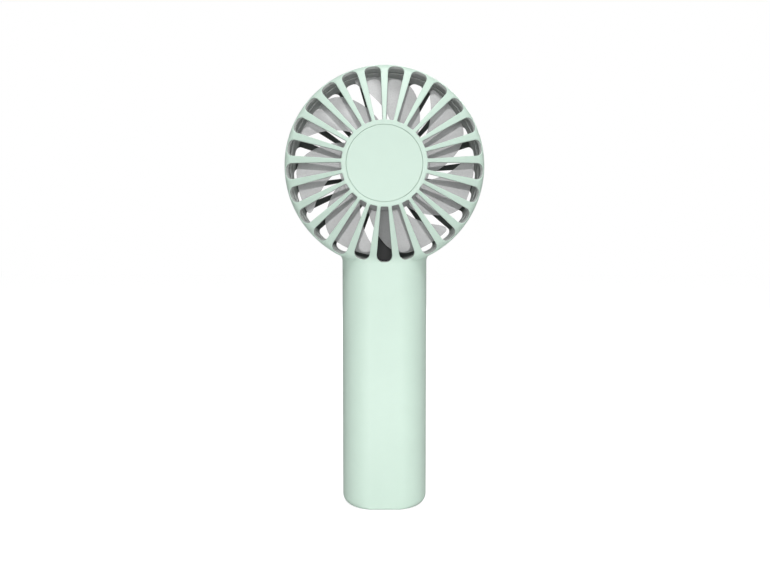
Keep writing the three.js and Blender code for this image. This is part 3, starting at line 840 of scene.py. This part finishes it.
def distance_from_axis(tree, position):
    """The distance of a point from the fan's axis, in metres."""
    nodes, links = tree.nodes, tree.links
    from_axis = nodes.new("ShaderNodeVectorMath")
    from_axis.operation = "SUBTRACT"
    from_axis.inputs[1].default_value = (0, 0, AXIS_Z * MM)
    links.new(position, from_axis.inputs[0])
    flat = nodes.new("ShaderNodeVectorMath")
    flat.operation = "MULTIPLY"
    flat.inputs[1].default_value = (1, 0, 1)
    links.new(from_axis.outputs["Vector"], flat.inputs[0])
    length = nodes.new("ShaderNodeVectorMath")
    length.operation = "LENGTH"
    links.new(flat.outputs["Vector"], length.inputs[0])
    return length.outputs["Value"]


def painted_light_inside(name, deep, front_light, rim):
    """Dark plastic with painted light: paler close to the front of the head, where light gets in through the
    slots, and inside its rim, where the outer slot ends catch the light.
    """
    material = textured(name, deep, 0.5, grain=0.16, bump=0.06, mottle=0.05)
    tree = material.node_tree
    colour = tree.nodes["Principled BSDF"].inputs["Base Color"]
    base = colour.links[0].from_socket
    place = next(n for n in tree.nodes if n.type == "TEX_COORD").outputs["Object"]
    split = tree.nodes.new("ShaderNodeSeparateXYZ")
    tree.links.new(place, split.inputs["Vector"])
    # Painted light: paler towards the front opening and towards the outer slot ends.
    near_front = fade_between(tree, split.outputs["Y"], *LIGHT_FADE_Y)
    near_rim = fade_between(tree, distance_from_axis(tree, place), *LIGHT_FADE_RIM_R)
    inside = blended(tree, near_rim, base, rim)
    tree.links.new(blended(tree, near_front, inside, front_light), colour)
    return material


mint = textured("mint_plastic", (0.65, 0.82, 0.715), 0.42, grain=0.16, bump=0.05, mottle=0.012,
                Specular_IOR_Level=0.45)
smoke = textured("smoke_plastic", (0.7, 0.71, 0.71), 0.28, grain=0.8, bump=0.02, mottle=0.05, Alpha=0.5)
# The inside plastic: dark, with painted light that turns it paler towards the front and the outer slot ends.
inside_painted_light = painted_light_inside("dark_plastic_painted_light", (0.05, 0.06, 0.054), (0.4, 0.43, 0.41), (0.55, 0.58, 0.56))
guide = textured("light_guide", (0.8, 0.82, 0.8), 0.3, grain=0.4, bump=0.02, Transmission_Weight=0.3)
steel = brushed("steel", (0.6, 0.61, 0.63), 0.28)
ferrite = textured("ferrite", (0.04, 0.04, 0.045), 0.6, grain=0.15, bump=0.2)
brass = brushed("brass", (0.6, 0.44, 0.18), 0.3, stretch=(1, 1, 20))
lamination = brushed("lamination", (0.22, 0.22, 0.24), 0.45, stretch=(1, 60, 1), bands=60)
copper = brushed("copper", (0.62, 0.27, 0.11), 0.3, stretch=(1, 1, 1), bands=2500)
board = textured("circuit_board", (0.015, 0.13, 0.06), 0.35, grain=1.0, bump=0.12, mottle=0.3,
                 Coat_Weight=0.4)
black = textured("black_plastic", (0.018, 0.018, 0.02), 0.5, grain=0.15, bump=0.1, mottle=0.1)
wrap = textured("cell_wrap", (0.04, 0.2, 0.45), 0.3, grain=2.5, bump=0.15, mottle=0.06)
red = textured("red_wire", (0.5, 0.025, 0.02), 0.45, grain=0.3, bump=0.05)
white = textured("chip_white", (0.8, 0.8, 0.76), 0.4, grain=0.2, bump=0.05)

SLOT_MATERIALS = {
    "shell_plastic": mint,
    "smoke_plastic": smoke,
    "steel": steel,
    "ferrite": ferrite,
    "brass": brass,
    "lamination": lamination,
    "copper": copper,
    "circuit_board": board,
    "black_plastic": black,
    "cell_wrap": wrap,
    "red_wire": red,
    "clear_plastic": guide,
    "white_plastic": white,
}


def paint(obj, *materials):
    """Gives an object these materials in place of its own."""
    obj.data.materials.clear()
    for material in materials:
        obj.data.materials.append(material)


def head_depth(radius, height):
    """How far under the outside of the head a point lies, by its radius and height off the parting plane."""
    if radius > SHOULDER_X and height < SHOULDER_Y:
        return HEAD_R - radius
    across, up = radius - SHOULDER_X, height - SHOULDER_Y
    if up > 0 and math.atan2(across, up) > SHOULDER_SLOPE:
        return SHOULDER_R - math.hypot(across, up)
    return (dome_height(radius) - height) * math.cos(SHOULDER_SLOPE)


def handle_depth(x, y, z):
    """How far under the outside of the handle a point lies."""
    over = max(abs(x) - HANDLE_FLAT, 0)
    reach = math.hypot(over, y)
    nx, ny = (over / reach, y / reach) if reach else (0, 1)
    side = flare(z, SIDE_FLARE_Z, NECK_SIDE_FILLET, SIDE_RISE)
    face = flare(z, FRONT_FLARE_Z, NECK_FRONT_FILLET, FRONT_RISE)
    return min(HANDLE_FRONT + nx**2 * side + ny**2 * face - foot_inset(z, nx) - reach, z)


def paint_housing(obj):
    """The coat on the outside, and the dark plastic with painted light on every face that lies deeper."""
    paint(obj, mint, inside_painted_light)
    handle_top = AXIS_Z - HEAD_R + 12
    for face in obj.data.polygons:
        x, y, z = face.center / MM
        radius = math.hypot(x, z - AXIS_Z)
        in_head = radius < HEAD_R + 1
        depth = head_depth(radius, abs(y)) if in_head else -1
        if z < handle_top:
            depth = max(depth, handle_depth(x, y, z))
        on_cap_seat = radius < CAP_SEAT_R + 0.3 and y < -HALF_DEPTH + CAP_SEAT_DEPTH + 0.1
        face.material_index = int(depth > COAT_DEPTH and not on_cap_seat)


def place_piece(obj, body, slot, *nodes, angle=32, coated=False):
    """Finishes a fine piece: shading, material, body, and the CAD nodes it stands for."""
    smooth(obj, angle)
    if coated:
        paint_housing(obj)
    else:
        paint(obj, SLOT_MATERIALS[slot])
    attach(obj, body)
    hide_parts(*nodes)


# Carried-over CAD nodes take the material of their slot.
for row in frame["record"]["subparts"]:
    node = frame["nodes"][row["node"]]
    node.material_slots[0].material = SLOT_MATERIALS[row["material_slot"]]

# ---------- pieces ----------

whole = housing_shell()
place_piece(front_housing(whole), "housing", "shell_plastic", "front_housing", coated=True)
place_piece(back_housing(whole), "housing", "shell_plastic", "rear_housing", coated=True)
bpy.data.objects.remove(whole)
place_piece(hub_cap(), "housing", "shell_plastic", "hub_cap")
place_piece(impeller(), "rotor", "smoke_plastic", "impeller", angle=40)
place_piece(button(), "button", "shell_plastic", "power_button")
place_piece(light_guide(), "housing", "clear_plastic", "light_pipe")
for node in SHELL_SCREWS:
    place_piece(screw_head(node + "_head", middle_of(node)), "housing", "steel", node)

# ---------- stage, light and camera ----------


def stage_floor():
    """A plain floor that glows towards the camera, like a backdrop lit on its own."""
    half = 3.0
    corners = [(-half, -half, 0), (half, -half, 0), (half, half, 0), (-half, half, 0)]
    mesh = bpy.data.meshes.new("floor")
    mesh.from_pydata(corners, [], [(0, 1, 2, 3)])
    floor = bpy.data.objects.new("floor", mesh)
    bpy.context.scene.collection.objects.link(floor)
    material, tree, shader = node_material("floor")
    shader.inputs["Base Color"].default_value = (0.45, 0.45, 0.45, 1)
    shader.inputs["Roughness"].default_value = 0.8
    shader.inputs["Specular IOR Level"].default_value = 0.1
    shader.inputs["Emission Color"].default_value = (1, 1, 1, 1)
    path = tree.nodes.new("ShaderNodeLightPath")
    glow = tree.nodes.new("ShaderNodeMapRange")
    glow.inputs["To Max"].default_value = 0.84
    tree.links.new(path.outputs["Is Camera Ray"], glow.inputs["Value"])
    tree.links.new(glow.outputs["Result"], shader.inputs["Emission Strength"])
    paint(floor, material)


def softbox(name, position, target, size, power):
    """A white rectangular light that faces its target."""
    light = bpy.data.lights.new(name, "AREA")
    light.shape = "RECTANGLE"
    light.size, light.size_y = size
    light.energy = power
    lamp = bpy.data.objects.new(name, light)
    lamp.location = position
    lamp.rotation_euler = (Vector(target) - Vector(position)).to_track_quat("-Z", "Y").to_euler()
    bpy.context.scene.collection.objects.link(lamp)


def studio_world(light, backdrop):
    """Even light all round, with a brighter plain backdrop where the camera looks past the object."""
    world = bpy.data.worlds.new("studio")
    world.use_nodes = True
    nodes, links = world.node_tree.nodes, world.node_tree.links
    path = nodes.new("ShaderNodeLightPath")
    strength = nodes.new("ShaderNodeMapRange")
    strength.inputs["To Min"].default_value = light
    strength.inputs["To Max"].default_value = backdrop
    links.new(path.outputs["Is Camera Ray"], strength.inputs["Value"])
    links.new(strength.outputs["Result"], nodes["Background"].inputs["Strength"])
    nodes["Background"].inputs["Color"].default_value = (1, 1, 1, 1)
    bpy.context.scene.world = world


stage_floor()
studio_world(0.325, 1.0)
middle = (0, 0, 0.12)
softbox("key", (0.03, -0.45, 1.0), middle, (0.4, 0.3), 4.5)
softbox("side", (0.35, -0.9, 0.35), middle, (0.4, 0.4), 0.8)
softbox("fill", (0.0, -1.1, 0.2), middle, (0.3, 0.3), 2.7)
softbox("low", (0.0, -0.2, 0.014), (0, 0, 0.02), (0.2, 0.02), 0.09)
softbox("rear", (0.2, 1.0, 0.6), middle, (0.6, 0.5), 5.5)
bpy.context.scene.view_settings.view_transform = "Standard"

tilt_down = math.radians(3.18)
camera = bpy.data.cameras.new("camera")
camera.sensor_width = 36
camera.lens = 35.09
view = bpy.data.objects.new("camera", camera)
view.location = (0.28 * MM, -0.372, 0.1284)
view.rotation_euler = (math.pi / 2 - tilt_down, 0, 0)
bpy.context.scene.collection.objects.link(view)
bpy.context.scene.camera = view
